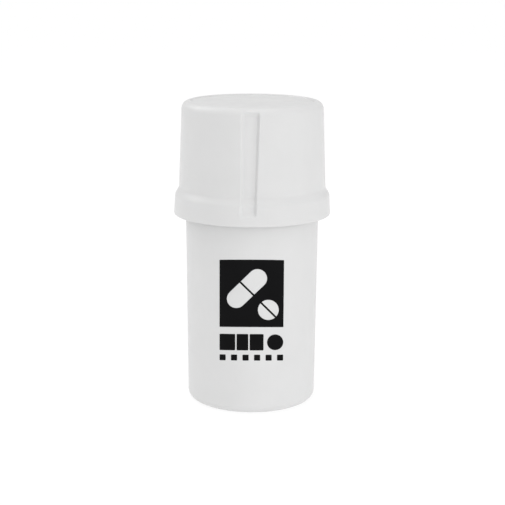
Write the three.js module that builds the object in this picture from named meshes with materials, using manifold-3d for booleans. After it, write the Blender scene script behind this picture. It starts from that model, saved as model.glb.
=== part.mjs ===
// A pocket pill crusher: a moulded vial with a grinder cup in its mouth and a turning cap over it.
// The lower grinder is the floor of the cup, and the upper grinder turns with the cap. Their teeth
// pass between each other, and the powder drops through the lower grinder into the vial.
// Millimetres, +Z up, origin at the centre of the base. The front of the vial faces -Y.
import * as THREE from "three";
import { mergeVertices } from "three/addons/utils/BufferGeometryUtils.js";
import Module from "manifold-3d";

const wasm = await Module();
wasm.setup();

// ---- driving dimensions ----
const HEIGHT = 98.5; // overall, cap on
const GAP = 0.3; // left between pieces that touch
const SINK = 0.2; // how far a joined block starts inside what it joins
const CLEAR = 1; // how far a cutter reaches past what it cuts
const CHAMFER = 0.4; // on moulded edges

const FACETS = { shell: 48, ring: 40, hub: 20, post: 16, seal: 6, hole: 8, tooth: 4 };

const VIAL = {
  baseRadius: 20.9, // outside, at the foot
  neckRadius: 21.3, // outside, where the cap slides over
  topRadius: 21.5, // outside, just under the cap
  footFillet: 3.2,
  boreFoot: 19.3, // inside, at the floor
  bore: 19.9, // inside, at the neck
  neckBoreZ: 60.8, // the bore is straight from here up
  floorTop: 2.6,
  floorFillet: 2,
  recessRadius: 15.5, // hollow under the base
  recessDepth: 0.8,
  shoulderZ: 61.8,
  shoulderHalf: 0.2,
  rimZ: 69.6,
  beadZ: 64.6, // snap bead round the neck
  beadHalf: 0.9,
  beadSlope: 0.6,
  beadRadius: 22.0,
  slotDepth: 1.2, // key slots in the rim
  slotHalfAngle: 6.5,
};

const CUP = {
  flangeZ: VIAL.rimZ + GAP, // the flange rests on the vial's rim, level with the ledge inside
  flangeThickness: 1.4,
  flangeRadius: 20.8,
  wallRadius: 20.0,
  bore: 18.6,
  rimZ: 88.0,
  skirtFootZ: 62.0,
  skirtRadius: 19.5,
  skirtBore: 17.1,
  grooveZ: 65.2, // seal groove round the skirt
  grooveHalf: 0.9,
  grooveRadius: 18.25,
  keyHalfAngle: 5,
  pocketDepth: 1.0, // pockets in the ledge, for the lower grinder's lugs
  pocketHalfAngle: 6,
};

const LOWER = {
  undersideZ: CUP.flangeZ + GAP,
  thickness: 2.0,
  radius: CUP.bore - GAP,
  toothHeight: 8,
  lugHalfAngle: 4.5,
  postRadius: 2.0, // centring post
  postTopZ: 82.5,
  postChamfer: 1,
};
LOWER.topZ = LOWER.undersideZ + LOWER.thickness;

const WASHER = { inner: CUP.bore + 0.15, outer: CUP.wallRadius - 0.1, thickness: 0.7 };
WASHER.undersideZ = CUP.rimZ + GAP;
WASHER.topZ = WASHER.undersideZ + WASHER.thickness;

const UPPER = {
  undersideZ: WASHER.topZ + GAP,
  thickness: 1.6,
  radius: 20.8,
  toothTipZ: LOWER.topZ + 1.6,
  hubRadius: 4.0,
  hubBore: 2.4,
  hubFootZ: 77.0,
  hubBoreTopZ: 84.0,
};
UPPER.topZ = UPPER.undersideZ + UPPER.thickness;

const CAP = {
  footZ: 62.0,
  footRadius: 25.4,
  collarTopRadius: 25.05,
  shoulderFootZ: 67.8, // the collar runs into the wall in a soft S
  shoulderTopZ: 71.2,
  wallFootRadius: 23.7,
  wallMidZ: 84,
  wallTopRadius: 22.8,
  rimFillet: 2.5,
  panelRadius: 20.0, // sunk panel in the top
  panelDepth: 0.4,
  panelThickness: 2.0,
  bore: 21.1, // inside, round the cup
  leadHeight: 0.8, // slope where the bore narrows over the vial's rim
  stepZ: UPPER.topZ + GAP, // the upper grinder seats here
  upperBore: 20.2,
  ceilingChamfer: 1,
  keyDepth: 1.5, // drive keys under the step
  keyHeight: 1.5,
  keyRoot: 0.6, // how far the drive keys reach into the wall and the step
  keyHalfWidth: 1.4,
  sealZ: 67.2, // seal groove in the collar
  sealGrooveHalf: 1.1,
  sealGrooveRadius: 23.6,
  clipZ: 88.25, // groove for the retaining clip
  clipGrooveHalf: 0.75,
  clipGrooveRadius: 21.6,
  beadBore: VIAL.beadRadius + 0.55, // room for the vial's bead
  snapRadius: VIAL.beadRadius + 0.25, // rib under the bead
  snapFootZ: 62.5,
  snapTopZ: 63.1,
  mouthRadius: VIAL.beadRadius + 0.7,
};

const NOTCH = {
  count: 3, // grip notches round the cap
  depth: 1.0,
  leftAngle: -9.0, // degrees from the front, where the lip starts
  lipShare: 0.26, // share of the notch's width taken by the lip
  lipDepth: 0.75, // share of the depth reached at the lip's foot
  wallAngleFoot: 3.5, // the steep side leans with the mould's draft
  wallAngleTop: 6.3,
  wallWidth: 2.2, // degrees taken by the steep side
  footZ: 65.2,
  topZ: 97.3,
  runOut: 0.5, // height over which each end fades
};

const CLIP = { side: 0.25, mouthHalfAngle: 9 }; // side: room above and below it in its groove
const SEAL = { cupRadius: 19.1, cupSection: 0.6, capRadius: 22.45, capSection: 0.85 };

const KEY_COUNT = 3; // keys that stop the cup in the vial, and the lower grinder in the cup
const POCKET_PHASE = 60; // the ledge's pockets lie between the keys
const DRIVE_KEY_COUNT = 4; // keys that turn the upper grinder with the cap
const DRIVE_KEY_PHASE = 45;

// Tooth rings: each ring of upper teeth runs in the channel between two rings of lower teeth.
const TOOTH = { tipShare: 0.6, rootSink: 0.4 };
const LOWER_RINGS = [
  { radius: 6.5, halfWidth: 1.5, halfLength: 2.4, count: 3, phase: 0 },
  { radius: 13.7, halfWidth: 1.5, halfLength: 2.9, count: 6, phase: 0 },
];
const UPPER_RINGS = [
  { radius: 10.1, halfWidth: 1.5, halfLength: 2.6, count: 4, phase: 45 },
  { radius: 16.9, halfWidth: 1.1, halfLength: 2.9, count: 6, phase: 30 },
];
const SLOT = { radius: 10.1, halfWidth: 1.35, count: 6, halfAngle: 20 };
const HOLE = { radius: 15.9, holeRadius: 1.1, count: 18, phase: 10 };

// ---- colours ----
const WHITE_PLASTIC = { color: 0xe2e2e2, roughness: 0.4, metalness: 0 };
const INNER_PLASTIC = { color: 0xe9e9e6, roughness: 0.45, metalness: 0 };
const SILICONE = { color: 0xc9ccce, roughness: 0.6, metalness: 0 };
const ACETAL = { color: 0xdedbd2, roughness: 0.5, metalness: 0 };

// ---- geometry helpers ----
const { degToRad: radians, lerp, clamp, mapLinear } = THREE.MathUtils;
const point = (r, z) => new THREE.Vector2(r, z);

/** The numbers from 0 to 1 in equal steps. */
const shares = (steps) => Array.from({ length: steps + 1 }, (_, i) => i / steps);

/** A soft step from 0 to 1. */
const softStep = (share) => (1 - Math.cos(Math.PI * share)) / 2;

/** Points of a round from angle a to angle b in degrees, about (r, z). */
const arc = (r, z, radius, a, b, steps) =>
  shares(steps).map((share) => {
    const t = radians(lerp(a, b, share));
    return point(r + radius * Math.cos(t), z + radius * Math.sin(t));
  });

/** A profile turned round Z. */
const turned = (profile, facets = FACETS.shell) =>
  new THREE.LatheGeometry(profile, facets).rotateX(Math.PI / 2);

/** A closed mesh as a solid that can be joined and cut. */
function solidOf(geometry) {
  const bare = geometry.index ? geometry.toNonIndexed() : geometry.clone();
  bare.deleteAttribute("normal");
  bare.deleteAttribute("uv");
  const merged = mergeVertices(bare, 1e-4);
  return new wasm.Manifold(
    new wasm.Mesh({
      numProp: 3,
      vertProperties: merged.getAttribute("position").array,
      triVerts: new Uint32Array(merged.index.array),
    }),
  );
}

function geometryOf(solid) {
  const mesh = solid.getMesh();
  const geometry = new THREE.BufferGeometry();
  geometry.setAttribute("position", new THREE.BufferAttribute(mesh.vertProperties, 3));
  geometry.setIndex(new THREE.BufferAttribute(mesh.triVerts, 1));
  geometry.computeVertexNormals();
  return geometry;
}

/** A copy of a geometry turned by an angle in degrees from the front, towards +X. */
const atAngle = (geometry, degrees) => geometry.clone().rotateZ(radians(degrees));

/** A geometry repeated round Z, as solids. */
const roundZ = (geometry, count, phase = 0) =>
  Array.from({ length: count }, (_, i) => solidOf(atAngle(geometry, phase + (360 * i) / count)));

const join = (solid, others) => others.reduce((all, one) => all.add(one), solid);
const cut = (solid, others) => others.reduce((all, one) => all.subtract(one), solid);

/** A block that fills a sector of a ring, centred on the front. */
function sector(inner, outer, halfAngle, zLow, zHigh, steps = 4) {
  const from = -Math.PI / 2 - radians(halfAngle);
  const to = -Math.PI / 2 + radians(halfAngle);
  const shape = new THREE.Shape();
  shape.absarc(0, 0, outer, from, to, false);
  shape.absarc(0, 0, inner, to, from, true);
  shape.closePath();
  return new THREE.ExtrudeGeometry(shape, {
    depth: zHigh - zLow,
    bevelEnabled: false,
    curveSegments: steps,
  }).translate(0, 0, zLow);
}

/** A flat disc. */
const disc = (radius, zLow, zHigh) =>
  turned([point(0, zLow), point(radius, zLow), point(radius, zHigh), point(0, zHigh)]);

/** A tapered four-sided tooth from rootZ to tipZ, with its point leading round the ring. */
function tooth(ring, rootZ, tipZ) {
  const upright = tipZ > rootZ;
  const topShare = upright ? TOOTH.tipShare : 1;
  const bottomShare = upright ? 1 : TOOTH.tipShare;
  return new THREE.CylinderGeometry(topShare, bottomShare, Math.abs(tipZ - rootZ), FACETS.tooth)
    .rotateX(Math.PI / 2)
    .scale(ring.halfLength, ring.halfWidth, 1)
    .translate(0, -ring.radius, (rootZ + tipZ) / 2);
}

/** All the teeth of some rings, from rootZ to tipZ. */
const teeth = (rings, rootZ, tipZ) =>
  rings.flatMap((ring) => roundZ(tooth(ring, rootZ, tipZ), ring.count, ring.phase));

// ---- vial ----
function vialBody() {
  const v = VIAL;
  const beadLow = v.beadZ - v.beadHalf;
  const beadHigh = v.beadZ + v.beadHalf;
  const body = turned([
    point(0, v.recessDepth),
    point(v.recessRadius - v.recessDepth, v.recessDepth),
    point(v.recessRadius, 0),
    ...arc(v.baseRadius - v.footFillet, v.footFillet, v.footFillet, -90, 0, 5),
    point(v.topRadius, v.shoulderZ - v.shoulderHalf),
    point(v.neckRadius, v.shoulderZ + v.shoulderHalf),
    point(v.neckRadius, beadLow),
    point(v.beadRadius, beadLow + v.beadSlope),
    point(v.beadRadius, beadHigh - v.beadSlope),
    point(v.neckRadius, beadHigh),
    point(v.neckRadius, v.rimZ - CHAMFER),
    point(v.neckRadius - CHAMFER, v.rimZ),
    point(v.bore + CHAMFER, v.rimZ),
    point(v.bore, v.rimZ - CHAMFER),
    point(v.bore, v.neckBoreZ),
    ...arc(v.boreFoot - v.floorFillet, v.floorTop + v.floorFillet, v.floorFillet, 0, -90, 3),
    point(0, v.floorTop),
  ]);
  const slotFoot = v.rimZ - v.slotDepth;
  const slot = sector(v.bore - CLEAR, v.neckRadius + CLEAR, v.slotHalfAngle, slotFoot, v.rimZ + CLEAR);
  return geometryOf(cut(solidOf(body), roundZ(slot, KEY_COUNT)));
}

// ---- grinder cup ----
function grinderCup() {
  const c = CUP;
  const grooveLow = c.grooveZ - c.grooveHalf;
  const grooveHigh = c.grooveZ + c.grooveHalf;
  const flangeTop = c.flangeZ + c.flangeThickness;
  const shell = turned([
    point(c.skirtBore, c.skirtFootZ),
    point(c.skirtRadius - CHAMFER, c.skirtFootZ),
    point(c.skirtRadius, c.skirtFootZ + CHAMFER),
    point(c.skirtRadius, grooveLow),
    point(c.grooveRadius, grooveLow),
    point(c.grooveRadius, grooveHigh),
    point(c.skirtRadius, grooveHigh),
    point(c.skirtRadius, c.flangeZ),
    point(c.flangeRadius, c.flangeZ),
    point(c.flangeRadius, flangeTop),
    point(c.wallRadius, flangeTop),
    point(c.wallRadius, c.rimZ),
    point(c.bore, c.rimZ),
    point(c.bore, c.flangeZ),
    point(c.skirtBore, c.flangeZ),
    point(c.skirtBore, c.skirtFootZ),
  ]);
  const keyFoot = VIAL.rimZ - VIAL.slotDepth + GAP;
  const key = sector(c.skirtRadius - SINK, c.flangeRadius, c.keyHalfAngle, keyFoot, c.flangeZ + SINK);
  const pocketFoot = c.flangeZ - c.pocketDepth;
  const pocket = sector(c.skirtBore - CLEAR, c.bore, c.pocketHalfAngle, pocketFoot, c.flangeZ + SINK);
  const keyed = join(solidOf(shell), roundZ(key, KEY_COUNT));
  return geometryOf(cut(keyed, roundZ(pocket, KEY_COUNT, POCKET_PHASE)));
}

// ---- grinders ----
function kidneySlot() {
  const { radius, halfWidth, halfAngle } = SLOT;
  const low = LOWER.undersideZ - CLEAR;
  return sector(radius - halfWidth, radius + halfWidth, halfAngle, low, LOWER.topZ + CLEAR, 5);
}

function dropHole() {
  const height = LOWER.thickness + 2 * CLEAR;
  return new THREE.CylinderGeometry(HOLE.holeRadius, HOLE.holeRadius, height, FACETS.hole)
    .rotateX(Math.PI / 2)
    .translate(0, -HOLE.radius, LOWER.undersideZ + LOWER.thickness / 2);
}

function centringPost(rootZ) {
  const { postRadius, postTopZ, postChamfer } = LOWER;
  const profile = [
    point(0, rootZ),
    point(postRadius, rootZ),
    point(postRadius, postTopZ - postChamfer),
    point(postRadius - postChamfer, postTopZ),
    point(0, postTopZ),
  ];
  return solidOf(turned(profile, FACETS.post));
}

function lowerGrinder() {
  const g = LOWER;
  const lugFoot = CUP.flangeZ - CUP.pocketDepth + GAP;
  const lug = sector(CUP.skirtBore + GAP, g.radius, g.lugHalfAngle, lugFoot, g.undersideZ + SINK, 2);
  const drops = [
    ...roundZ(kidneySlot(), SLOT.count),
    ...roundZ(dropHole(), HOLE.count, HOLE.phase),
  ];
  const rootZ = g.topZ - TOOTH.rootSink;
  const grown = [
    ...roundZ(lug, KEY_COUNT, POCKET_PHASE),
    ...teeth(LOWER_RINGS, rootZ, g.topZ + g.toothHeight),
    centringPost(rootZ),
  ];
  const plate = solidOf(disc(g.radius, g.undersideZ, g.topZ));
  return geometryOf(join(cut(plate, drops), grown));
}

function hub(rootZ) {
  const { hubRadius, hubBore, hubFootZ, hubBoreTopZ } = UPPER;
  const profile = [
    point(0, hubBoreTopZ),
    point(hubBore, hubBoreTopZ),
    point(hubBore, hubFootZ),
    point(hubRadius, hubFootZ),
    point(hubRadius, rootZ),
    point(0, rootZ),
  ];
  return solidOf(turned(profile, FACETS.hub));
}

function upperGrinder() {
  const g = UPPER;
  const rootZ = g.undersideZ + TOOTH.rootSink;
  const keyway = new THREE.BoxGeometry(
    2 * (CAP.keyHalfWidth + GAP),
    CAP.keyDepth + 2 * GAP,
    g.thickness + 2 * CLEAR,
  ).translate(0, -(CAP.bore - CAP.keyDepth / 2), g.undersideZ + g.thickness / 2);
  const plate = solidOf(disc(g.radius, g.undersideZ, g.topZ));
  const joined = join(plate, [hub(rootZ), ...teeth(UPPER_RINGS, rootZ, g.toothTipZ)]);
  return geometryOf(cut(joined, roundZ(keyway, DRIVE_KEY_COUNT, DRIVE_KEY_PHASE)));
}

// ---- cap ----
/** The notch's depth on the way from its left edge to the steep side: a lip, then the floor. */
const scoopDepth = (share) =>
  share < NOTCH.lipShare
    ? NOTCH.lipDepth * softStep(share / NOTCH.lipShare)
    : mapLinear(share, NOTCH.lipShare, 1, NOTCH.lipDepth, 1);

/** The angle of the steep side's brink at a height. */
const brinkAt = (z) =>
  lerp(
    NOTCH.wallAngleFoot,
    NOTCH.wallAngleTop,
    clamp((z - NOTCH.footZ) / (NOTCH.topZ - NOTCH.footZ), 0, 1),
  );

/** The columns of the cap's skin: each one's angle at a height, and its share of the notch's depth. */
function capColumns() {
  const scoop = [0, NOTCH.lipShare / 2, NOTCH.lipShare, (1 + NOTCH.lipShare) / 2, 1];
  const plain = shares(12).slice(0, -1);
  const pitch = 360 / NOTCH.count;
  const columns = [];
  for (let n = 0; n < NOTCH.count; n++) {
    for (const share of scoop) {
      columns.push({
        angle: (z) => n * pitch + lerp(NOTCH.leftAngle, brinkAt(z) - NOTCH.wallWidth, share),
        depth: scoopDepth(share),
      });
    }
    for (const share of plain) {
      columns.push({
        angle: (z) => n * pitch + lerp(brinkAt(z), pitch + NOTCH.leftAngle, share),
        depth: 0,
      });
    }
  }
  return columns;
}

/** How much of the notch's full depth is cut at a height. */
const notchShare = (z) =>
  clamp(Math.min(z - NOTCH.footZ, NOTCH.topZ - z) / NOTCH.runOut, 0, 1);

/** The cap's section turned round Z, with the notches pressed into its outside. */
function notched(inside, outside) {
  const profile = [...inside, ...outside];
  const columns = capColumns();
  const geometry = new THREE.LatheGeometry(profile, columns.length);
  const position = geometry.getAttribute("position");
  for (let i = 0; i <= columns.length; i++) {
    const column = columns[i % columns.length];
    profile.forEach(({ x: radius, y: z }, j) => {
      const share = j < inside.length ? 0 : notchShare(z);
      const r = radius - NOTCH.depth * column.depth * share;
      const angle = radians(column.angle(z));
      position.setXYZ(i * profile.length + j, r * Math.sin(angle), z, r * Math.cos(angle));
    });
  }
  return geometry.rotateX(Math.PI / 2);
}

/** The cap's outside, from its foot up to the middle of its top. */
function capOutside() {
  const c = CAP;
  const wallTopZ = HEIGHT - c.rimFillet;
  const collarAt = (z) => mapLinear(z, c.footZ, c.shoulderFootZ, c.footRadius, c.collarTopRadius);
  const wallAt = (z) => mapLinear(z, c.shoulderTopZ, wallTopZ, c.wallFootRadius, c.wallTopRadius);
  const notchFull = NOTCH.footZ + NOTCH.runOut;
  const shoulder = shares(6).map((t) =>
    point(
      lerp(c.collarTopRadius, c.wallFootRadius, softStep(t)),
      lerp(c.shoulderFootZ, c.shoulderTopZ, t),
    ),
  );
  return [
    point(c.footRadius - CHAMFER, c.footZ),
    point(c.footRadius, c.footZ + CHAMFER),
    point(collarAt(NOTCH.footZ), NOTCH.footZ),
    point(collarAt(notchFull), notchFull),
    ...shoulder,
    point(wallAt(c.wallMidZ), c.wallMidZ),
    ...arc(c.wallTopRadius - c.rimFillet, wallTopZ, c.rimFillet, 0, 90, 6),
    point(c.panelRadius, HEIGHT),
    point(c.panelRadius - c.panelDepth, HEIGHT - c.panelDepth),
    point(0, HEIGHT - c.panelDepth),
  ];
}

/** The cap's inside, from the middle of its ceiling down to its mouth. */
function capInside() {
  const c = CAP;
  const ceiling = HEIGHT - c.panelDepth - c.panelThickness;
  const neckBore = VIAL.neckRadius + GAP;
  const clipLow = c.clipZ - c.clipGrooveHalf;
  const clipHigh = c.clipZ + c.clipGrooveHalf;
  const sealLow = c.sealZ - c.sealGrooveHalf;
  const sealHigh = c.sealZ + c.sealGrooveHalf;
  const leadFoot = VIAL.rimZ + 2 * GAP;
  return [
    point(0, ceiling),
    point(c.upperBore - c.ceilingChamfer, ceiling),
    point(c.upperBore, ceiling - c.ceilingChamfer),
    point(c.upperBore, c.stepZ),
    point(c.bore, c.stepZ),
    point(c.bore, clipHigh),
    point(c.clipGrooveRadius, clipHigh),
    point(c.clipGrooveRadius, clipLow),
    point(c.bore, clipLow),
    point(c.bore, leadFoot + c.leadHeight),
    point(neckBore, leadFoot),
    point(neckBore, sealHigh),
    point(c.sealGrooveRadius, sealHigh),
    point(c.sealGrooveRadius, sealLow),
    point(c.snapRadius, sealLow),
    point(c.beadBore, sealLow - (c.beadBore - c.snapRadius)),
    point(c.beadBore, c.snapTopZ + (c.beadBore - c.snapRadius)),
    point(c.snapRadius, c.snapTopZ),
    point(c.snapRadius, c.snapFootZ),
    point(c.mouthRadius, c.footZ),
  ];
}

function capShell() {
  const c = CAP;
  const driveKey = new THREE.BoxGeometry(
    2 * c.keyHalfWidth,
    c.keyDepth + c.keyRoot,
    c.keyHeight + c.keyRoot,
  ).translate(0, -(c.bore + (c.keyRoot - c.keyDepth) / 2), c.stepZ + (c.keyRoot - c.keyHeight) / 2);
  const shell = solidOf(notched(capInside(), capOutside()));
  return geometryOf(join(shell, roundZ(driveKey, DRIVE_KEY_COUNT, DRIVE_KEY_PHASE)));
}

// ---- rings ----
/** A ring with a round section. Its last point is its first, so that the section closes. */
function sealRing(radius, z, section) {
  const outline = arc(radius, z, section, 0, 360, FACETS.seal).slice(0, -1);
  return turned([...outline, outline[0]], FACETS.ring);
}

/** A flat ring of rectangular section. */
function flatRing(inner, outer, zLow, zHigh) {
  const outline = [
    point(inner, zLow),
    point(outer, zLow),
    point(outer, zHigh),
    point(inner, zHigh),
    point(inner, zLow),
  ];
  return turned(outline, FACETS.ring);
}

const cupSealRing = () => sealRing(SEAL.cupRadius, CUP.grooveZ, SEAL.cupSection);
const capSealRing = () => sealRing(SEAL.capRadius, CAP.sealZ, SEAL.capSection);
const frictionRing = () => flatRing(WASHER.inner, WASHER.outer, WASHER.undersideZ, WASHER.topZ);

function retainingClip() {
  const inner = CUP.wallRadius + GAP;
  const outer = CAP.clipGrooveRadius - GAP;
  const low = CAP.clipZ - CAP.clipGrooveHalf + CLIP.side;
  const high = CAP.clipZ + CAP.clipGrooveHalf - CLIP.side;
  const mouth = sector(inner - CLEAR, outer + CLEAR, CLIP.mouthHalfAngle, low - CLEAR, high + CLEAR);
  return geometryOf(cut(solidOf(flatRing(inner, outer, low, high)), [solidOf(atAngle(mouth, 180))]));
}

// ---- assembly ----
function named(name, geometry, look) {
  const mesh = new THREE.Mesh(geometry, new THREE.MeshStandardMaterial(look));
  mesh.name = name;
  return mesh;
}

const crusher = new THREE.Group();
crusher.add(
  named("vial_body", vialBody(), WHITE_PLASTIC),
  named("grinder_cup", grinderCup(), INNER_PLASTIC),
  named("cup_seal_ring", cupSealRing(), SILICONE),
  named("friction_ring", frictionRing(), ACETAL),
  named("cap_seal_ring", capSealRing(), SILICONE),
  named("cap_shell", capShell(), WHITE_PLASTIC),
  named("lower_grinder", lowerGrinder(), INNER_PLASTIC),
  named("upper_grinder", upperGrinder(), INNER_PLASTIC),
  named("retaining_clip", retainingClip(), ACETAL),
);

export default crusher;
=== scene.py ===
"""A white moulded pill crusher on a pale floor: the vial with its printed front, the turning cap over
it, and the grinder parts, seals and rings inside. Shapes are in millimetres until place(), block() and
post() turn them into metres. An outline's points are (radius, level), or (radius, level, fillet)."""
import math

import bmesh
import bpy
from mathutils import Matrix, Vector


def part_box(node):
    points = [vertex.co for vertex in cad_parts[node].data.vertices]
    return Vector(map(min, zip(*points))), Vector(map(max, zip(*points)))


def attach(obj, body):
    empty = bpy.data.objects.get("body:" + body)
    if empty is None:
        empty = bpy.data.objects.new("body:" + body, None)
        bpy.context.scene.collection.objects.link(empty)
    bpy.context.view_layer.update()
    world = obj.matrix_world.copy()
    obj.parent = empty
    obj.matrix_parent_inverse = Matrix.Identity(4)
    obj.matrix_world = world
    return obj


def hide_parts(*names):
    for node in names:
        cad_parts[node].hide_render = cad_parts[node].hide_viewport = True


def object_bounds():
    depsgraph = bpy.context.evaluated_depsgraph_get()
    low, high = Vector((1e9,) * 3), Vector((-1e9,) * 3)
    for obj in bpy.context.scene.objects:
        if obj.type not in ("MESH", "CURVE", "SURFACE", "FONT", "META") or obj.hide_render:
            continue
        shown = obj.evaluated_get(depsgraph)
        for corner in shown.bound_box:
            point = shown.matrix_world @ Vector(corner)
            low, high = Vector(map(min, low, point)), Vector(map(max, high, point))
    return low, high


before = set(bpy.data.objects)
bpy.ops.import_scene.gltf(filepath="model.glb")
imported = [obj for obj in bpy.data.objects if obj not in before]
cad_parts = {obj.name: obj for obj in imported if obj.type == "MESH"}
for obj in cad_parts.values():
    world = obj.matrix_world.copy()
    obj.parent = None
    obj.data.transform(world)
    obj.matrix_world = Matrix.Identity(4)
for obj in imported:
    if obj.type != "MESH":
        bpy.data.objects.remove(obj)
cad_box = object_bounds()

MM = 0.001
ROUND = 240  # columns round a shell
RING_ROUND = 160  # columns round a small ring
SHARP = math.radians(32)  # edges sharper than this are shaded as edges
NEAR = 0.02  # a row isn't added closer than this to a corner
WELD = 0.002  # points closer than this are joined after a cut
CLEAR = 1  # how far a cutter reaches past what it cuts
SINK = 0.2  # how far a joined block starts inside what it joins


def extent(node):
    """A CAD node's outer radius and its lowest and highest level, in millimetres."""
    low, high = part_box(node)
    return max(high.x, high.y) / MM, low.z / MM, high.z / MM


HEIGHT = cad_box[1].z / MM
CAP_RADIUS, CAP_FOOT, _ = extent("cap_shell")
_, _, VIAL_RIM = extent("vial_body")
_, CUP_FOOT, CUP_RIM = extent("grinder_cup")
_, _, POST_TOP = extent("lower_grinder")
_, CLIP_LOW, CLIP_HIGH = extent("retaining_clip")
_, WASHER_LOW, WASHER_HIGH = extent("friction_ring")
_, UPPER_TIP, UPPER_TOP = extent("upper_grinder")

FIT = 0.3  # space between pieces that touch
CUP_FLANGE = VIAL_RIM + FIT
LOWER_PLATE = CUP_FLANGE + FIT
CUP_FLOOR = LOWER_PLATE + 2.0
UPPER_PLATE = WASHER_HIGH + FIT
CAP_STEP = UPPER_TOP + FIT

VIAL_FOOT_RADIUS = 20.9
VIAL_TOP_RADIUS = 21.5
VIAL_SHOULDER = CAP_FOOT - 0.2
NECK_RADIUS = 21.3
BEAD_RADIUS = 22.0
BEAD_LEVEL = 64.6
CUP_SEAL_LEVEL = 65.2
CAP_SEAL_LEVEL = 67.2
CAP_BORE = 21.1
CAP_MOUTH = BEAD_RADIUS + 0.7  # inside, at the foot
CAP_TOP_RADIUS = 22.8
CAP_TOP_THICKNESS = 2.4  # from the rim's top down to the ceiling
CAP_PANEL_DEPTH = 0.35
WALL_ROWS = [74, 80, 86, 92]  # levels of the rows added up the cap's wall

NOTCH_COUNT = 3
NOTCH_DEPTH = 1.0
NOTCH_LEFT = -9.0  # degrees from the front, where the lip starts
NOTCH_LIP = 0.26  # share of the notch's width taken by the lip
NOTCH_LIP_DEPTH = 0.75  # share of the depth reached at the lip's foot
NOTCH_WALL_FOOT = 3.5  # the steep side's brink, at the notch's foot
NOTCH_WALL_TOP = 6.3
NOTCH_WALL_WIDTH = 2.2
NOTCH_FOOT = 65.2
NOTCH_TOP = 97.3
NOTCH_RUN_OUT = 1.6  # height over which each end fades
RUN_OUT_ROWS = 7
LIP_COLUMNS = 10
SCOOP_COLUMNS = 8
WALL_COLUMNS = 9
PLAIN_COLUMNS = 64

KEYS = 3
KEY_POCKET_PHASE = 60  # the ledge's pockets lie between the keys
DRIVE_KEYS = 4
DRIVE_KEY_PHASE = 45
TOOTH_HEIGHT = 8
TOOTH_TIP_SHARE = 0.6
TOOTH_ROW = 2.5  # how far back from the tip a row is added
TOOTH_POWER = 1.22  # the softness of its diamond section
LOWER_RINGS = (
    {"radius": 6.5, "width": 1.5, "length": 2.4, "count": 3, "phase": 0},
    {"radius": 13.7, "width": 1.5, "length": 2.9, "count": 6, "phase": 0},
)
UPPER_RINGS = (
    {"radius": 10.1, "width": 1.5, "length": 2.6, "count": 4, "phase": 45},
    {"radius": 16.9, "width": 1.1, "length": 2.9, "count": 6, "phase": 30},
)


# ---- outlines ----
def bend(before, corner, after, fillet, steps):
    """The points of a fillet at a corner between two neighbours."""
    back = before - corner
    on = after - corner
    half = back.angle(on) / 2
    reach = min(fillet / math.tan(half), 0.49 * min(back.length, on.length))
    start = corner + back.normalized() * reach
    end = corner + on.normalized() * reach
    centre = corner + (back.normalized() + on.normalized()).normalized() * (reach / math.cos(half))
    first = start - centre
    sweep = first.angle_signed(end - centre)
    turns = (Matrix.Rotation(-sweep * i / steps, 2) for i in range(steps + 1))
    return [centre + turn @ first for turn in turns]


def rounded(corners, closed=False, steps=5):
    """The outline through corners given as (radius, level, fillet)."""
    points = [Vector(c[:2]) for c in corners]
    count = len(points)
    outline = []
    for i, corner in enumerate(corners):
        is_end = not closed and i in (0, count - 1)
        if is_end or corner[2] == 0:
            outline.append(points[i])
        else:
            before = points[i - 1]
            after = points[(i + 1) % count]
            outline += bend(before, points[i], after, corner[2], steps)
    return outline


def with_rows(outline, levels):
    """The outline with a point added wherever it crosses one of the levels."""
    rows = [outline[0]]
    for a, b in zip(outline, outline[1:]):
        crossed = [z for z in levels if min(a.y, b.y) + NEAR < z < max(a.y, b.y) - NEAR]
        for z in sorted(crossed, reverse=b.y < a.y):
            rows.append(a.lerp(b, (z - a.y) / (b.y - a.y)))
        rows.append(b)
    return rows


# ---- solids ----
def place(radius, degrees, level):
    """A point at an angle from the front, towards +X, in metres."""
    a = math.radians(degrees)
    return Vector((radius * math.sin(a), -radius * math.cos(a), level)) * MM


def turned(outline, columns=ROUND, closed=False, press=None):
    """An outline turned round Z. press gives the place of a column's point, where it isn't round."""
    bm = bmesh.new()
    press = press or (lambda i, j, radius, level: place(radius, 360 * i / columns, level))
    rings = []
    for j, (radius, level) in enumerate(outline):
        if radius < 1e-6:
            rings.append([bm.verts.new((0, 0, level * MM))] * columns)
        else:
            rings.append([bm.verts.new(press(i, j, radius, level)) for i in range(columns)])
    pairs = list(zip(rings, rings[1:]))
    if closed:
        pairs.append((rings[-1], rings[0]))
    for low, high in pairs:
        for i in range(columns):
            k = (i + 1) % columns
            corners = list(dict.fromkeys((low[i], low[k], high[k], high[i])))
            if len(corners) > 2:
                bm.faces.new(corners)
    bmesh.ops.recalc_face_normals(bm, faces=bm.faces)
    return bm


def sector(inner, outer, half_angle, low, high, at=0, steps=12):
    """A block that fills a sector of a ring, centred on an angle."""
    bm = bmesh.new()
    angles = [at + half_angle * (2 * i / steps - 1) for i in range(steps + 1)]
    rim = [(outer, a) for a in angles] + [(inner, a) for a in reversed(angles)]
    below, above = ([bm.verts.new(place(r, a, z)) for r, a in rim] for z in (low, high))
    for i in range(steps):
        k = len(rim) - 1 - i
        bm.faces.new((below[i], below[i + 1], below[k - 1], below[k]))
        bm.faces.new((above[i], above[i + 1], above[k - 1], above[k]))
    for i in range(len(rim)):
        k = (i + 1) % len(rim)
        bm.faces.new((below[i], below[k], above[k], above[i]))
    bmesh.ops.recalc_face_normals(bm, faces=bm.faces)
    return bm


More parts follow.
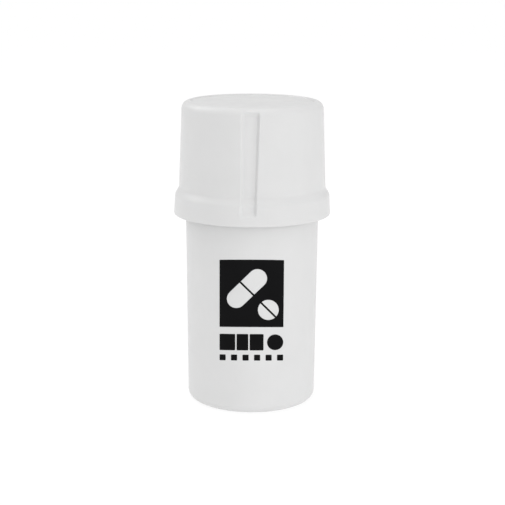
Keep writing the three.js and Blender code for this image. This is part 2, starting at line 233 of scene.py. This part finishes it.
def post(outline, at_radius, degrees, squash=(1, 1), power=2, columns=24):
    """An outline turned round its own upright axis. A power under 2 makes its section a soft diamond."""

    def press(i, j, radius, level):
        a = 2 * math.pi * i / columns
        size = (abs(math.cos(a)) ** power + abs(math.sin(a)) ** power) ** (-1 / power)
        x = radius * size * math.sin(a) * squash[0]
        y = radius * size * math.cos(a) * squash[1]
        return Vector((x, y, level)) * MM

    bm = turned(outline, columns, press=press)
    bm.transform(Matrix.Rotation(math.radians(degrees), 4, "Z") @ Matrix.Translation((0, -at_radius * MM, 0)))
    return bm


def tooth(ring, root, tip, degrees):
    """A tapered tooth with a softened tip, its point leading round the ring. Its outline has a root radius
    of 1, which the ring's length and width scale."""
    up = 1 if tip > root else -1
    outline = rounded(
        [(0, root, 0), (1, root, 0), (TOOTH_TIP_SHARE, tip, 0.3), (0, tip, 0)],
        steps=4,
    )
    grown = with_rows(outline, [tip - up * TOOTH_ROW])
    return post(grown, ring["radius"], degrees, (ring["length"], ring["width"]), power=TOOTH_POWER)


def tooth_rings(rings, root, tip):
    return [
        tooth(ring, root, tip, ring["phase"] + 360 * i / ring["count"])
        for ring in rings
        for i in range(ring["count"])
    ]


def block(width, depth, low, high, at_radius, degrees):
    """An upright block across a radius."""
    bm = bmesh.new()
    bmesh.ops.create_cube(bm, size=MM)
    bm.transform(Matrix.Diagonal((width, depth, high - low, 1)))
    bm.transform(Matrix.Translation((0, -at_radius * MM, (low + high) / 2 * MM)))
    bm.transform(Matrix.Rotation(math.radians(degrees), 4, "Z"))
    return bm


def as_object(bm, name):
    mesh = bpy.data.meshes.new(name)
    bm.to_mesh(mesh)
    bm.free()
    obj = bpy.data.objects.new(name, mesh)
    bpy.context.scene.collection.objects.link(obj)
    return obj


def gathered(solids):
    """Several separate solids in one bmesh."""
    whole = bmesh.new()
    for solid in solids:
        mesh = bpy.data.meshes.new("part")
        solid.to_mesh(mesh)
        solid.free()
        whole.from_mesh(mesh)
        bpy.data.meshes.remove(mesh)
    return whole


def combine(obj, solids, operation):
    """Joins solids to an object or cuts them from it, and welds the slivers that this leaves."""
    tool = as_object(gathered(solids), obj.name + "_tool")
    modifier = obj.modifiers.new(operation.lower(), "BOOLEAN")
    modifier.object = tool
    modifier.operation = operation
    modifier.solver = "EXACT"
    bpy.context.view_layer.update()
    made = bpy.data.meshes.new_from_object(obj.evaluated_get(bpy.context.evaluated_depsgraph_get()))
    obj.modifiers.clear()
    obj.data = made
    bpy.data.objects.remove(tool)
    welded = bmesh.new()
    welded.from_mesh(made)
    bmesh.ops.remove_doubles(welded, verts=welded.verts, dist=WELD * MM)
    bmesh.ops.dissolve_degenerate(welded, edges=welded.edges, dist=WELD * MM)
    welded.to_mesh(made)
    welded.free()


def dress(obj, body, slot, material, *replaced):
    """Shades a finished piece, gives it its material and puts it on its body."""
    bm = bmesh.new()
    bm.from_mesh(obj.data)
    for face in bm.faces:
        face.smooth = True
    for edge in bm.edges:
        edge.smooth = edge.calc_face_angle(0) < SHARP
    bm.to_mesh(obj.data)
    bm.free()
    normals = obj.modifiers.new("normals", "WEIGHTED_NORMAL")
    normals.keep_sharp = True
    obj.data.materials.clear()
    obj.data.materials.append(material)
    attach(obj, body)
    if replaced:
        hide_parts(*replaced)


# ---- materials ----
NOISE_LOW = 0.3  # the noise's useful range
NOISE_HIGH = 0.7


def node_of(material, kind, **sockets):
    node = material.node_tree.nodes.new(kind)
    for name, value in sockets.items():
        node.inputs[name.replace("_", " ")].default_value = value
    return node


def noise(material, scale, detail=3.0, roughness=0.55):
    """Noise in the piece's own metres."""
    links = material.node_tree.links
    where = node_of(material, "ShaderNodeTexCoord")
    grain = node_of(material, "ShaderNodeTexNoise", Scale=scale, Detail=detail, Roughness=roughness)
    links.new(where.outputs["Object"], grain.inputs["Vector"])
    return grain.outputs["Fac"]


def spread(material, value, low, high):
    """A noise value mapped to a range."""
    ends = {"From_Min": NOISE_LOW, "From_Max": NOISE_HIGH, "To_Min": low, "To_Max": high}
    node = node_of(material, "ShaderNodeMapRange", **ends)
    material.node_tree.links.new(value, node.inputs["Value"])
    return node.outputs["Result"]


def bump(material, height, strength, distance, under=None):
    node = node_of(material, "ShaderNodeBump", Strength=strength, Distance=distance)
    material.node_tree.links.new(height, node.inputs["Height"])
    if under:
        material.node_tree.links.new(under, node.inputs["Normal"])
    return node.outputs["Normal"]


def surface(name, colour, variation, roughness, grain, depth, **uniform):
    """A moulded material: faint mottling, uneven gloss, a fine grain and a soft ripple."""
    material = bpy.data.materials.new(name)
    material.use_nodes = True
    tree = material.node_tree
    shader = tree.nodes["Principled BSDF"]
    for socket, value in uniform.items():
        shader.inputs[socket.replace("_", " ")].default_value = value
    shader.inputs["Subsurface Radius"].default_value = (1.0, 0.95, 0.9)

    mottle = node_of(material, "ShaderNodeValToRGB")
    dark, light = mottle.color_ramp.elements
    dark.position = NOISE_LOW
    light.position = NOISE_HIGH
    dark.color = (*[c * (1 - variation) for c in colour], 1)
    light.color = (*[min(1, c * (1 + variation)) for c in colour], 1)
    tree.links.new(noise(material, scale=90), mottle.inputs["Fac"])
    tree.links.new(mottle.outputs["Color"], shader.inputs["Base Color"])

    gloss = spread(material, noise(material, scale=260, detail=4), roughness - 0.05, roughness + 0.06)
    tree.links.new(gloss, shader.inputs["Roughness"])

    waves = noise(material, scale=320, detail=2)
    ripple = bump(material, waves, strength=0.25, distance=0.00002)
    grains = noise(material, scale=grain, detail=4, roughness=0.65)
    fine = bump(material, grains, strength=0.35, distance=depth, under=ripple)
    tree.links.new(fine, shader.inputs["Normal"])
    return material


def translucence(weight, scale):
    """The light that soaks into a plastic, and how far in metres."""
    return {"Subsurface_Weight": weight, "Subsurface_Scale": scale}


def make_materials():
    vial_white = (0.63, 0.63, 0.63)
    cap_white = (0.617, 0.617, 0.617)
    inner_white = (0.65, 0.65, 0.64)
    grey = (0.55, 0.56, 0.57)
    cream = (0.72, 0.69, 0.62)
    black = (0.004, 0.004, 0.0045)
    # slot: colour, variation, roughness, grain, its depth in metres, and the sockets set outright
    looks = {
        "vial_plastic": (vial_white, 0.012, 0.38, 5200, 0.000012, translucence(0.15, 0.0015)),
        "cap_plastic": (cap_white, 0.012, 0.33, 4600, 0.000014, translucence(0.15, 0.0015)),
        "inner_plastic": (inner_white, 0.015, 0.46, 4200, 0.000016, translucence(0.08, 0.0012)),
        "silicone": (grey, 0.02, 0.55, 6000, 0.00001, translucence(0.25, 0.001)),
        "acetal": (cream, 0.02, 0.38, 5200, 0.00001, translucence(0.1, 0.001)),
        "print_ink": (black, 0.15, 0.42, 7000, 0.000008, {"Specular_IOR_Level": 0.06}),
    }
    return {slot: surface(slot, *look, **uniform) for slot, (*look, uniform) in looks.items()}


# ---- vial ----
def make_vial(material):
    floor = 2.6
    recess_radius, recess_depth = 15.5, 0.8
    recess_top = 14.7  # its radius at the ceiling
    nib_radius, nib_root, nib_foot = 0.9, 1.2, 0.5  # the nib that the mould leaves under the base
    bead_root, bead_face = 0.9, 0.3  # half its height, at the neck and at its face
    foot_bore, mouth_bore = 19.3, 19.9
    bore_level = 60.5  # the bore is straight from here up
    outline = rounded([
        (0, nib_foot, 0),
        (nib_radius, nib_foot, 0.15),
        (nib_root, recess_depth, 0.1),
        (recess_top, recess_depth, 0.5),
        (recess_radius, 0, 0.5),
        (VIAL_FOOT_RADIUS, 0, 3.2),
        (VIAL_TOP_RADIUS, VIAL_SHOULDER, 0.25),
        (NECK_RADIUS, VIAL_SHOULDER, 0.1),
        (NECK_RADIUS, BEAD_LEVEL - bead_root, 0.2),
        (BEAD_RADIUS, BEAD_LEVEL - bead_face, 0.4),
        (BEAD_RADIUS, BEAD_LEVEL + bead_face, 0.4),
        (NECK_RADIUS, BEAD_LEVEL + bead_root, 0.2),
        (NECK_RADIUS, VIAL_RIM, 0.4),
        (mouth_bore, VIAL_RIM, 0.4),
        (mouth_bore, bore_level, 0.5),
        (foot_bore, floor, 2.0),
        (0, floor, 0),
    ])
    vial = as_object(turned(outline), "vial_moulding")
    slot_foot, slot_top = VIAL_RIM - 1.2, VIAL_RIM + CLEAR
    slot_half_angle = 6.5
    slots = [
        sector(mouth_bore - CLEAR, NECK_RADIUS + CLEAR, slot_half_angle, slot_foot, slot_top, 360 * i / KEYS)
        for i in range(KEYS)
    ]
    combine(vial, slots, "DIFFERENCE")
    dress(vial, "container", "vial_plastic", material, "vial_body")


# ---- print ----
PRINT_SAG = 0.265  # how far the rows drop per millimetre that the vial falls back from its front
PANEL_WIDTH = 20.3
PANEL_HEIGHT = 21.9
PANEL_ROW = 40.1  # the level of its middle, as are the other rows
BAR_ROW = 24.15
BAR_HEIGHT = 5.4
BARS = ((0, 5.0), (5.45, 3.7), (9.6, 4.4))  # each bar's start and width, from the panel's left edge
DOT = 5.2
SQUARE_ROW = 19.05
SQUARES = 6
SQUARE_SIDE = 1.95
FINE_CORNER = 0.2
BAR_CORNER = 0.3
PILL_TILT = 45
CAPSULE = {"reach": 4.7, "radius": 3.0, "centre": (-1.5, 1.6)}  # reach: from its middle to each round end
TABLET = {"reach": 0, "radius": 3.3, "centre": (5.3, -5.3)}
FILM_THICKNESS = 0.03
FILM_SINK = 0.012  # how far the film starts inside the vial
FILM_STRIP = 0.35  # width of the strips that let it bend
TOUCHING = 1e-5


def vial_radius(level):
    return VIAL_FOOT_RADIUS + (VIAL_TOP_RADIUS - VIAL_FOOT_RADIUS) * level / VIAL_SHOULDER


def oblong(width, height, corner, centre=(0, 0), steps=8):
    """A rounded rectangle as a list of points."""
    points = []
    for quarter, (sx, sy) in enumerate(((1, 1), (-1, 1), (-1, -1), (1, -1))):
        middle = Vector((sx * (width / 2 - corner), sy * (height / 2 - corner)))
        for i in range(steps + 1):
            a = math.radians(90 * (quarter + i / steps))
            offset = Vector((math.cos(a), math.sin(a))) * corner
            points.append(middle + offset + Vector(centre))
    return points


def half_pill(side, reach, radius, centre, gap=0.6, steps=24):
    """One half of a capsule, or of a scored tablet if reach is 0, either side of a straight gap."""
    turn = Matrix.Rotation(math.radians(PILL_TILT), 2)
    edge = gap / 2
    opening = math.pi / 2 if reach > edge else math.acos((edge - reach) / radius)
    angles = [opening * (2 * i / steps - 1) for i in range(steps + 1)]
    points = [Vector((reach + radius * math.cos(a), radius * math.sin(a))) for a in angles]
    if reach > edge:
        points = [Vector((edge, -radius)), *points, Vector((edge, radius))]
    return [turn @ (point * side) + Vector(centre) for point in points]


def film(name, outlines, level, material):
    """A printed film wrapped on the front of the vial. Inner outlines are holes in it."""
    curve = bpy.data.curves.new(name, "CURVE")
    curve.dimensions = "2D"
    curve.fill_mode = "BOTH"
    for outline in outlines:
        spline = curve.splines.new("POLY")
        spline.points.add(len(outline) - 1)
        for target, point in zip(spline.points, outline):
            target.co = (point.x, point.y, 0, 1)
        spline.use_cyclic_u = True
    flat = bpy.data.objects.new(name, curve)
    bpy.context.scene.collection.objects.link(flat)
    bpy.context.view_layer.update()
    bm = bmesh.new()
    filled = flat.to_mesh()
    bm.from_mesh(filled)
    flat.to_mesh_clear()
    bpy.data.objects.remove(flat)
    bpy.data.curves.remove(curve)

    bmesh.ops.remove_doubles(bm, verts=bm.verts, dist=TOUCHING)
    width = max(abs(v.co.x) for v in bm.verts)
    strips = math.ceil(width / FILM_STRIP)
    across = Vector((1, 0, 0))
    for i in range(-strips, strips + 1):
        everything = bm.verts[:] + bm.edges[:] + bm.faces[:]
        at = across * (i * FILM_STRIP)
        bmesh.ops.bisect_plane(bm, geom=everything, plane_co=at, plane_no=across, dist=TOUCHING)
    sheet = bmesh.ops.extrude_face_region(bm, geom=bm.faces[:])
    for item in sheet["geom"]:
        if isinstance(item, bmesh.types.BMVert):
            item.co.z = FILM_THICKNESS
    for vert in bm.verts:
        z = level + vert.co.y
        radius = vial_radius(z)
        angle = math.asin(vert.co.x / radius)
        z -= radius * (1 - math.cos(angle)) * PRINT_SAG
        vert.co = place(radius - FILM_SINK + vert.co.z, math.degrees(angle), z)
    bmesh.ops.recalc_face_normals(bm, faces=bm.faces)
    dress(as_object(bm, name), "container", "print_ink", material)


def make_print(material):
    """A plain panel with a capsule and a scored tablet, over three bars with a dot and a row of squares."""
    halves = [half_pill(side, **pill) for pill in (CAPSULE, TABLET) for side in (-1, 1)]
    film("print_panel", [oblong(PANEL_WIDTH, PANEL_HEIGHT, FINE_CORNER), *halves], PANEL_ROW, material)
    for i, (start, width) in enumerate(BARS):
        middle = start + (width - PANEL_WIDTH) / 2
        film(f"print_bar_{i + 1}", [oblong(width, BAR_HEIGHT, BAR_CORNER, (middle, 0))], BAR_ROW, material)
    film("print_dot", [oblong(DOT, DOT, DOT / 2, ((PANEL_WIDTH - DOT) / 2, 0))], BAR_ROW, material)
    for i in range(SQUARES):
        x = (PANEL_WIDTH - SQUARE_SIDE) * (i / (SQUARES - 1) - 0.5)
        square = oblong(SQUARE_SIDE, SQUARE_SIDE, FINE_CORNER, (x, 0))
        film(f"print_square_{i + 1}", [square], SQUARE_ROW, material)


# ---- cap ----
def scoop_depth(share):
    """The notch's depth on the way from its left edge to the steep side: a short lip, then the floor."""
    if share < NOTCH_LIP:
        return NOTCH_LIP_DEPTH * (1 - math.cos(math.pi * share / NOTCH_LIP)) / 2
    return NOTCH_LIP_DEPTH + (1 - NOTCH_LIP_DEPTH) * (share - NOTCH_LIP) / (1 - NOTCH_LIP)


def notch_columns():
    """The cap's columns: each one's angle at a level, and its share of the notch's depth."""
    lip = [NOTCH_LIP * i / LIP_COLUMNS for i in range(LIP_COLUMNS)]
    scoop = [NOTCH_LIP + (1 - NOTCH_LIP) * i / SCOOP_COLUMNS for i in range(SCOOP_COLUMNS + 1)]
    wall = [i / WALL_COLUMNS for i in range(1, WALL_COLUMNS)]
    pitch = 360 / NOTCH_COUNT

    def wall_angle(level):
        t = (level - NOTCH_FOOT) / (NOTCH_TOP - NOTCH_FOOT)
        return NOTCH_WALL_FOOT + (NOTCH_WALL_TOP - NOTCH_WALL_FOOT) * min(1, max(0, t))

    def column(start, end, share, depth):
        return lambda level: start(level) + (end(level) - start(level)) * share, depth

    columns = []
    for n in range(NOTCH_COUNT):
        left = lambda level, n=n: n * pitch + NOTCH_LEFT
        foot = lambda level, n=n: n * pitch + wall_angle(level) - NOTCH_WALL_WIDTH
        brink = lambda level, n=n: n * pitch + wall_angle(level)
        beyond = lambda level, n=n: (n + 1) * pitch + NOTCH_LEFT
        for s in lip + scoop:
            columns.append(column(left, foot, s, scoop_depth(s)))
        for s in wall:
            columns.append(column(foot, brink, s, 0.5 + 0.5 * math.cos(math.pi * s)))
        for i in range(PLAIN_COLUMNS):
            columns.append(column(brink, beyond, i / PLAIN_COLUMNS, 0))
    return columns


def notch_share(level):
    """How much of the notch's depth is cut at a level."""
    rise = min(1, max(0, (level - NOTCH_FOOT) / NOTCH_RUN_OUT))
    fall = min(1, max(0, (NOTCH_TOP - level) / NOTCH_RUN_OUT))
    return math.sin(rise * math.pi / 2) * math.sin(fall * math.pi / 2)


def shoulder(steps=14):
    """The collar's shoulder, a soft S from the collar up to the wall."""
    low, top = 67.8, 71.2
    outer, inner = 25.05, 23.7
    shares = [i / steps for i in range(steps + 1)]
    return [
        (inner + (outer - inner) * (1 + math.cos(math.pi * t)) / 2, low + (top - low) * t, 0)
        for t in shares
    ]


def rim(steps=14):
    """The round between the cap's wall and its top, from the wall up."""
    fillet = 2.5
    angles = [math.pi / 2 * i / steps for i in range(steps + 1)]
    return [
        (CAP_TOP_RADIUS - fillet + fillet * math.cos(a), HEIGHT - fillet + fillet * math.sin(a), 0)
        for a in angles
    ]


def cap_inside():
    ceiling = HEIGHT - CAP_TOP_THICKNESS
    head = 20.2  # the hollow over the upper grinder
    clip_room = 0.25
    clip_groove = 21.6
    clip_low, clip_high = CLIP_LOW - clip_room, CLIP_HIGH + clip_room
    neck_bore = NECK_RADIUS + FIT
    lead_foot, lead_top = VIAL_RIM + 0.6, VIAL_RIM + 1.4  # the slope over the vial's rim
    seal_groove = 23.6
    seal_low, seal_high = CAP_SEAL_LEVEL - 1.1, CAP_SEAL_LEVEL + 1.1
    seal_lip = BEAD_RADIUS + 0.4
    bead_bore, bead_room_foot = BEAD_RADIUS + 0.55, CAP_FOOT + 1.7
    snap_bore, snap_level = BEAD_RADIUS + 0.25, CAP_FOOT + 0.9  # the rib that clips under the bead
    return rounded([
        (0, ceiling, 0),
        (head, ceiling, 1.0),
        (head, CAP_STEP, 0.15),
        (CAP_BORE, CAP_STEP, 0.15),
        (CAP_BORE, clip_high, 0.1),
        (clip_groove, clip_high, 0.1),
        (clip_groove, clip_low, 0.1),
        (CAP_BORE, clip_low, 0.1),
        (CAP_BORE, lead_top, 0.4),
        (neck_bore, lead_foot, 0.4),
        (neck_bore, seal_high, 0.15),
        (seal_groove, seal_high, 0.15),
        (seal_groove, seal_low, 0.15),
        (seal_lip, seal_low, 0.2),
        (bead_bore, bead_room_foot, 0.2),
        (snap_bore, snap_level, 0.3),
        (CAP_MOUTH, CAP_FOOT, 0.25),
    ])


def cap_outside():
    panel_level = HEIGHT - CAP_PANEL_DEPTH
    panel_rim, panel_foot = 20.0, 19.7
    outside = rounded([
        (CAP_MOUTH, CAP_FOOT, 0),
        (CAP_RADIUS, CAP_FOOT, 0.4),
        *shoulder(),
        *rim(),
        (panel_rim, HEIGHT, 0.1),
        (panel_foot, panel_level, 0.15),
        (0, panel_level, 0),
    ], steps=8)
    fade = [NOTCH_RUN_OUT * i / RUN_OUT_ROWS for i in range(RUN_OUT_ROWS + 1)]
    ends = [NOTCH_FOOT + z for z in fade] + [NOTCH_TOP - z for z in fade]
    return with_rows(outside, ends + WALL_ROWS)


def make_cap(material):
    inside = cap_inside()
    outside = cap_outside()
    outline = inside + outside[1:]
    columns = notch_columns()

    def press(i, j, radius, level):
        angle, depth = columns[i]
        share = notch_share(level) if j >= len(inside) else 0
        return place(radius - NOTCH_DEPTH * depth * share, angle(level), level)

    cap = as_object(turned(outline, len(columns), press=press), "cap_moulding")
    width, depth, middle = 2.8, 2.1, CAP_BORE - 0.45
    low, high = CAP_STEP - 1.5, CAP_STEP + 0.6
    keys = [
        block(width, depth, low, high, middle, DRIVE_KEY_PHASE + 360 * i / DRIVE_KEYS)
        for i in range(DRIVE_KEYS)
    ]
    combine(cap, keys, "UNION")
    dress(cap, "cap", "cap_plastic", material, "cap_shell")


# ---- grinder ----
def make_cup(material):
    skirt_bore, skirt = 17.1, 19.5
    groove = 18.25
    groove_low, groove_high = CUP_SEAL_LEVEL - 0.9, CUP_SEAL_LEVEL + 0.9
    flange = 20.8
    flange_top = CUP_FLANGE + 1.4
    bore, wall = 18.6, 20.0
    outline = rounded([
        (skirt_bore, CUP_FOOT, 0.2),
        (skirt, CUP_FOOT, 0.5),
        (skirt, groove_low, 0.15),
        (groove, groove_low, 0.15),
        (groove, groove_high, 0.15),
        (skirt, groove_high, 0.15),
        (skirt, CUP_FLANGE, 0.1),
        (flange, CUP_FLANGE, 0.2),
        (flange, flange_top, 0.4),
        (wall, flange_top, 0.15),
        (wall, CUP_RIM, 0.35),
        (bore, CUP_RIM, 0.35),
        (bore, CUP_FLANGE, 0.15),
        (skirt_bore, CUP_FLANGE, 0.15),
    ], closed=True)
    cup = as_object(turned(outline, closed=True), "cup_moulding")
    top = CUP_FLANGE + SINK
    key_inner, key_half_angle, key_foot = 19.3, 5, VIAL_RIM - 0.9
    keys = [sector(key_inner, flange, key_half_angle, key_foot, top, 360 * i / KEYS) for i in range(KEYS)]
    combine(cup, keys, "UNION")
    inner, half_angle, foot = 16.1, 6, CUP_FLANGE - 1.0
    pockets = [
        sector(inner, bore, half_angle, foot, top, KEY_POCKET_PHASE + 360 * i / KEYS)
        for i in range(KEYS)
    ]
    combine(cup, pockets, "DIFFERENCE")
    dress(cup, "crushing_cup", "inner_plastic", material, "grinder_cup")


def lower_drops():
    """The cutters for the openings in the lower grinder: six slots, and a ring of small round holes."""
    low, high = LOWER_PLATE - CLEAR, CUP_FLOOR + CLEAR
    inner, outer, half_angle = 8.75, 11.45, 20
    slots = [sector(inner, outer, half_angle, low, high, 60 * i) for i in range(6)]
    hole_radius, ring_radius, first_angle = 1.1, 15.9, 10
    hole = [Vector(p) for p in ((0, low), (hole_radius, low), (hole_radius, high), (0, high))]
    return slots + [post(hole, ring_radius, first_angle + 20 * i) for i in range(18)]


def make_lower_grinder(material):
    plate = 18.3
    outline = rounded([
        (0, LOWER_PLATE, 0),
        (plate, LOWER_PLATE, 0.2),
        (plate, CUP_FLOOR, 0.3),
        (0, CUP_FLOOR, 0),
    ])
    grinder = as_object(turned(outline), "lower_grinder_moulding")
    combine(grinder, lower_drops(), "DIFFERENCE")
    root = CUP_FLOOR - 0.4
    axle_radius = 2.0
    axle = rounded([(0, root, 0), (axle_radius, root, 0), (axle_radius, POST_TOP, 0.9), (0, POST_TOP, 0)])
    inner, outer, half_angle = 17.4, 18.2, 4.5
    lug_foot, lug_top = CUP_FLANGE - 0.7, LOWER_PLATE + 0.5
    lugs = [
        sector(inner, outer, half_angle, lug_foot, lug_top, KEY_POCKET_PHASE + 360 * i / KEYS)
        for i in range(KEYS)
    ]
    teeth = tooth_rings(LOWER_RINGS, root, CUP_FLOOR + TOOTH_HEIGHT)
    combine(grinder, [*teeth, turned(axle, 40), *lugs], "UNION")
    dress(grinder, "crushing_cup", "inner_plastic", material, "lower_grinder")


def make_upper_grinder(material):
    plate = 20.8
    outline = rounded([
        (0, UPPER_PLATE, 0),
        (plate, UPPER_PLATE, 0.2),
        (plate, UPPER_TOP, 0.2),
        (0, UPPER_TOP, 0),
    ])
    grinder = as_object(turned(outline), "upper_grinder_moulding")
    hub_foot, socket_top = 77.0, 84.0
    socket, hub_radius = 2.4, 4.0
    root = UPPER_PLATE + 0.4
    hub = rounded([
        (0, socket_top, 0),
        (socket, socket_top, 0.2),
        (socket, hub_foot, 0.3),
        (hub_radius, hub_foot, 0.4),
        (hub_radius, root, 0),
        (0, root, 0),
    ])
    combine(grinder, [turned(hub, 60), *tooth_rings(UPPER_RINGS, root, UPPER_TIP)], "UNION")
    width, depth, middle = 3.4, 2.1, 20.35
    low, high = UPPER_PLATE - CLEAR, UPPER_TOP + CLEAR
    keyways = [
        block(width, depth, low, high, middle, DRIVE_KEY_PHASE + 360 * i / DRIVE_KEYS)
        for i in range(DRIVE_KEYS)
    ]
    combine(grinder, keyways, "DIFFERENCE")
    dress(grinder, "cap", "inner_plastic", material, "upper_grinder")


# ---- rings ----
def seal_outline(radius, level, section, steps=24):
    """A round section with the fine flash line that its mould leaves inside and outside."""
    flash = 0.02
    points = []
    for i in range(steps):
        a = 2 * math.pi * i / steps
        size = section + (flash if i % (steps // 2) == 0 else 0)
        points.append(Vector((radius + size * math.cos(a), level + size * math.sin(a))))
    return points


def squared_outline(inner, outer, low, high, fillet):
    """A rectangular section with rounded corners."""
    corners = [(inner, low), (outer, low), (outer, high), (inner, high)]
    return rounded([(*corner, fillet) for corner in corners], closed=True)


def ring(outline, name):
    return as_object(turned(outline, RING_ROUND, closed=True), name)


def make_rings(materials):
    cup_seal = ring(seal_outline(19.1, CUP_SEAL_LEVEL, section=0.6), "cup_seal")
    dress(cup_seal, "crushing_cup", "silicone", materials["silicone"], "cup_seal_ring")
    cap_seal = ring(seal_outline(22.45, CAP_SEAL_LEVEL, section=0.85), "cap_seal")
    dress(cap_seal, "cap_seal", "silicone", materials["silicone"], "cap_seal_ring")
    washer = ring(squared_outline(18.75, 19.9, WASHER_LOW, WASHER_HIGH, fillet=0.12), "thrust_washer")
    dress(washer, "crushing_cup", "acetal", materials["acetal"], "friction_ring")


def make_clip(material):
    clip = ring(squared_outline(20.3, 21.3, CLIP_LOW, CLIP_HIGH, fillet=0.2), "split_clip")
    half_mouth = 9  # degrees, at the back
    mouth = sector(19, 22.5, half_mouth, CLIP_LOW - CLEAR, CLIP_HIGH + CLEAR, 180)
    combine(clip, [mouth], "DIFFERENCE")
    dress(clip, "cap", "acetal", material, "retaining_clip")


# ---- studio ----
# Metres and degrees, except where a comment says millimetres.
FLOOR_RADIUS = 9  # past the edge of the camera's view
FLOOR_BASE = 0.18
FLOOR_GLOW = 0.83  # with the base's share, this makes the floor pure white
SURROUND = 0.78  # strength of the plain white world
LIGHT_DISTANCE = 0.9
VIEW_DISTANCE = 0.463
VIEW_ELEVATION = 12.5
VIEW_ROLL = 0.3
VIEW_DROP = 0.65  # millimetres that the camera aims below the middle
VIEW_SIDE = 0.0002  # how far right of the middle it aims


def make_floor():
    bm = bmesh.new()
    bmesh.ops.create_circle(bm, cap_ends=True, segments=96, radius=FLOOR_RADIUS)
    floor = as_object(bm, "floor")
    material = bpy.data.materials.new("floor")
    material.use_nodes = True
    shader = material.node_tree.nodes["Principled BSDF"]
    shader.inputs["Base Color"].default_value = (FLOOR_BASE, FLOOR_BASE, FLOOR_BASE, 1)
    shader.inputs["Roughness"].default_value = 0.8
    shader.inputs["Specular IOR Level"].default_value = 0.1
    shader.inputs["Emission Color"].default_value = (1, 1, 1, 1)
    shader.inputs["Emission Strength"].default_value = FLOOR_GLOW
    floor.data.materials.append(material)


def softbox(name, azimuth, elevation, size, power, shows=True):
    """A square area light that faces the object. Azimuth 0 is in front and 90 on the right. A light that
    doesn't show has no reflection, which keeps low lights from glaring off the cap's top from behind."""
    light = bpy.data.lights.new(name, "AREA")
    light.shape = "SQUARE"
    light.size = size
    light.energy = power
    lamp = bpy.data.objects.new(name, light)
    a, e = math.radians(azimuth), math.radians(elevation)
    away = Vector((math.sin(a) * math.cos(e), -math.cos(a) * math.cos(e), math.sin(e)))
    lamp.location = Vector((0, 0, HEIGHT / 2 * MM)) + away * LIGHT_DISTANCE
    lamp.rotation_euler = away.to_track_quat("Z", "Y").to_euler()
    lamp.visible_glossy = shows
    bpy.context.scene.collection.objects.link(lamp)


def make_lights():
    world = bpy.data.worlds.new("studio")
    world.use_nodes = True
    background = world.node_tree.nodes["Background"]
    background.inputs["Color"].default_value = (1, 1, 1, 1)
    background.inputs["Strength"].default_value = SURROUND
    bpy.context.scene.world = world
    softbox("front", 0, 8, size=0.6, power=1.7, shows=False)
    softbox("right", 60, 5, size=0.6, power=2.2, shows=False)
    softbox("top", 0, 70, size=0.8, power=1.5)
    softbox("back_left", -115, 42, size=0.6, power=1.75)
    softbox("back_top", 180, 65, size=0.7, power=0.5)


def make_camera():
    elevation = math.radians(VIEW_ELEVATION)
    camera = bpy.data.cameras.new("camera")
    camera.sensor_width = 36
    camera.lens = 100.7
    camera.clip_start = 0.01
    camera.clip_end = 100
    camera.dof.use_dof = False
    holder = bpy.data.objects.new("camera", camera)
    back = Vector((0, -math.cos(elevation), math.sin(elevation)))
    aim = Vector((VIEW_SIDE, 0, (HEIGHT / 2 - VIEW_DROP) * MM))
    roll = Matrix.Rotation(math.radians(VIEW_ROLL), 4, "Z")
    turn = back.to_track_quat("Z", "Y").to_matrix().to_4x4()
    holder.matrix_world = Matrix.Translation(aim + back * VIEW_DISTANCE) @ turn @ roll
    bpy.context.scene.collection.objects.link(holder)
    bpy.context.scene.camera = holder


def main():
    bpy.context.scene.view_settings.view_transform = "Standard"
    make_camera()
    make_lights()
    make_floor()
    materials = make_materials()
    make_vial(materials["vial_plastic"])
    make_print(materials["print_ink"])
    make_cap(materials["cap_plastic"])
    make_cup(materials["inner_plastic"])
    make_lower_grinder(materials["inner_plastic"])
    make_upper_grinder(materials["inner_plastic"])
    make_rings(materials)
    make_clip(materials["acetal"])


main()
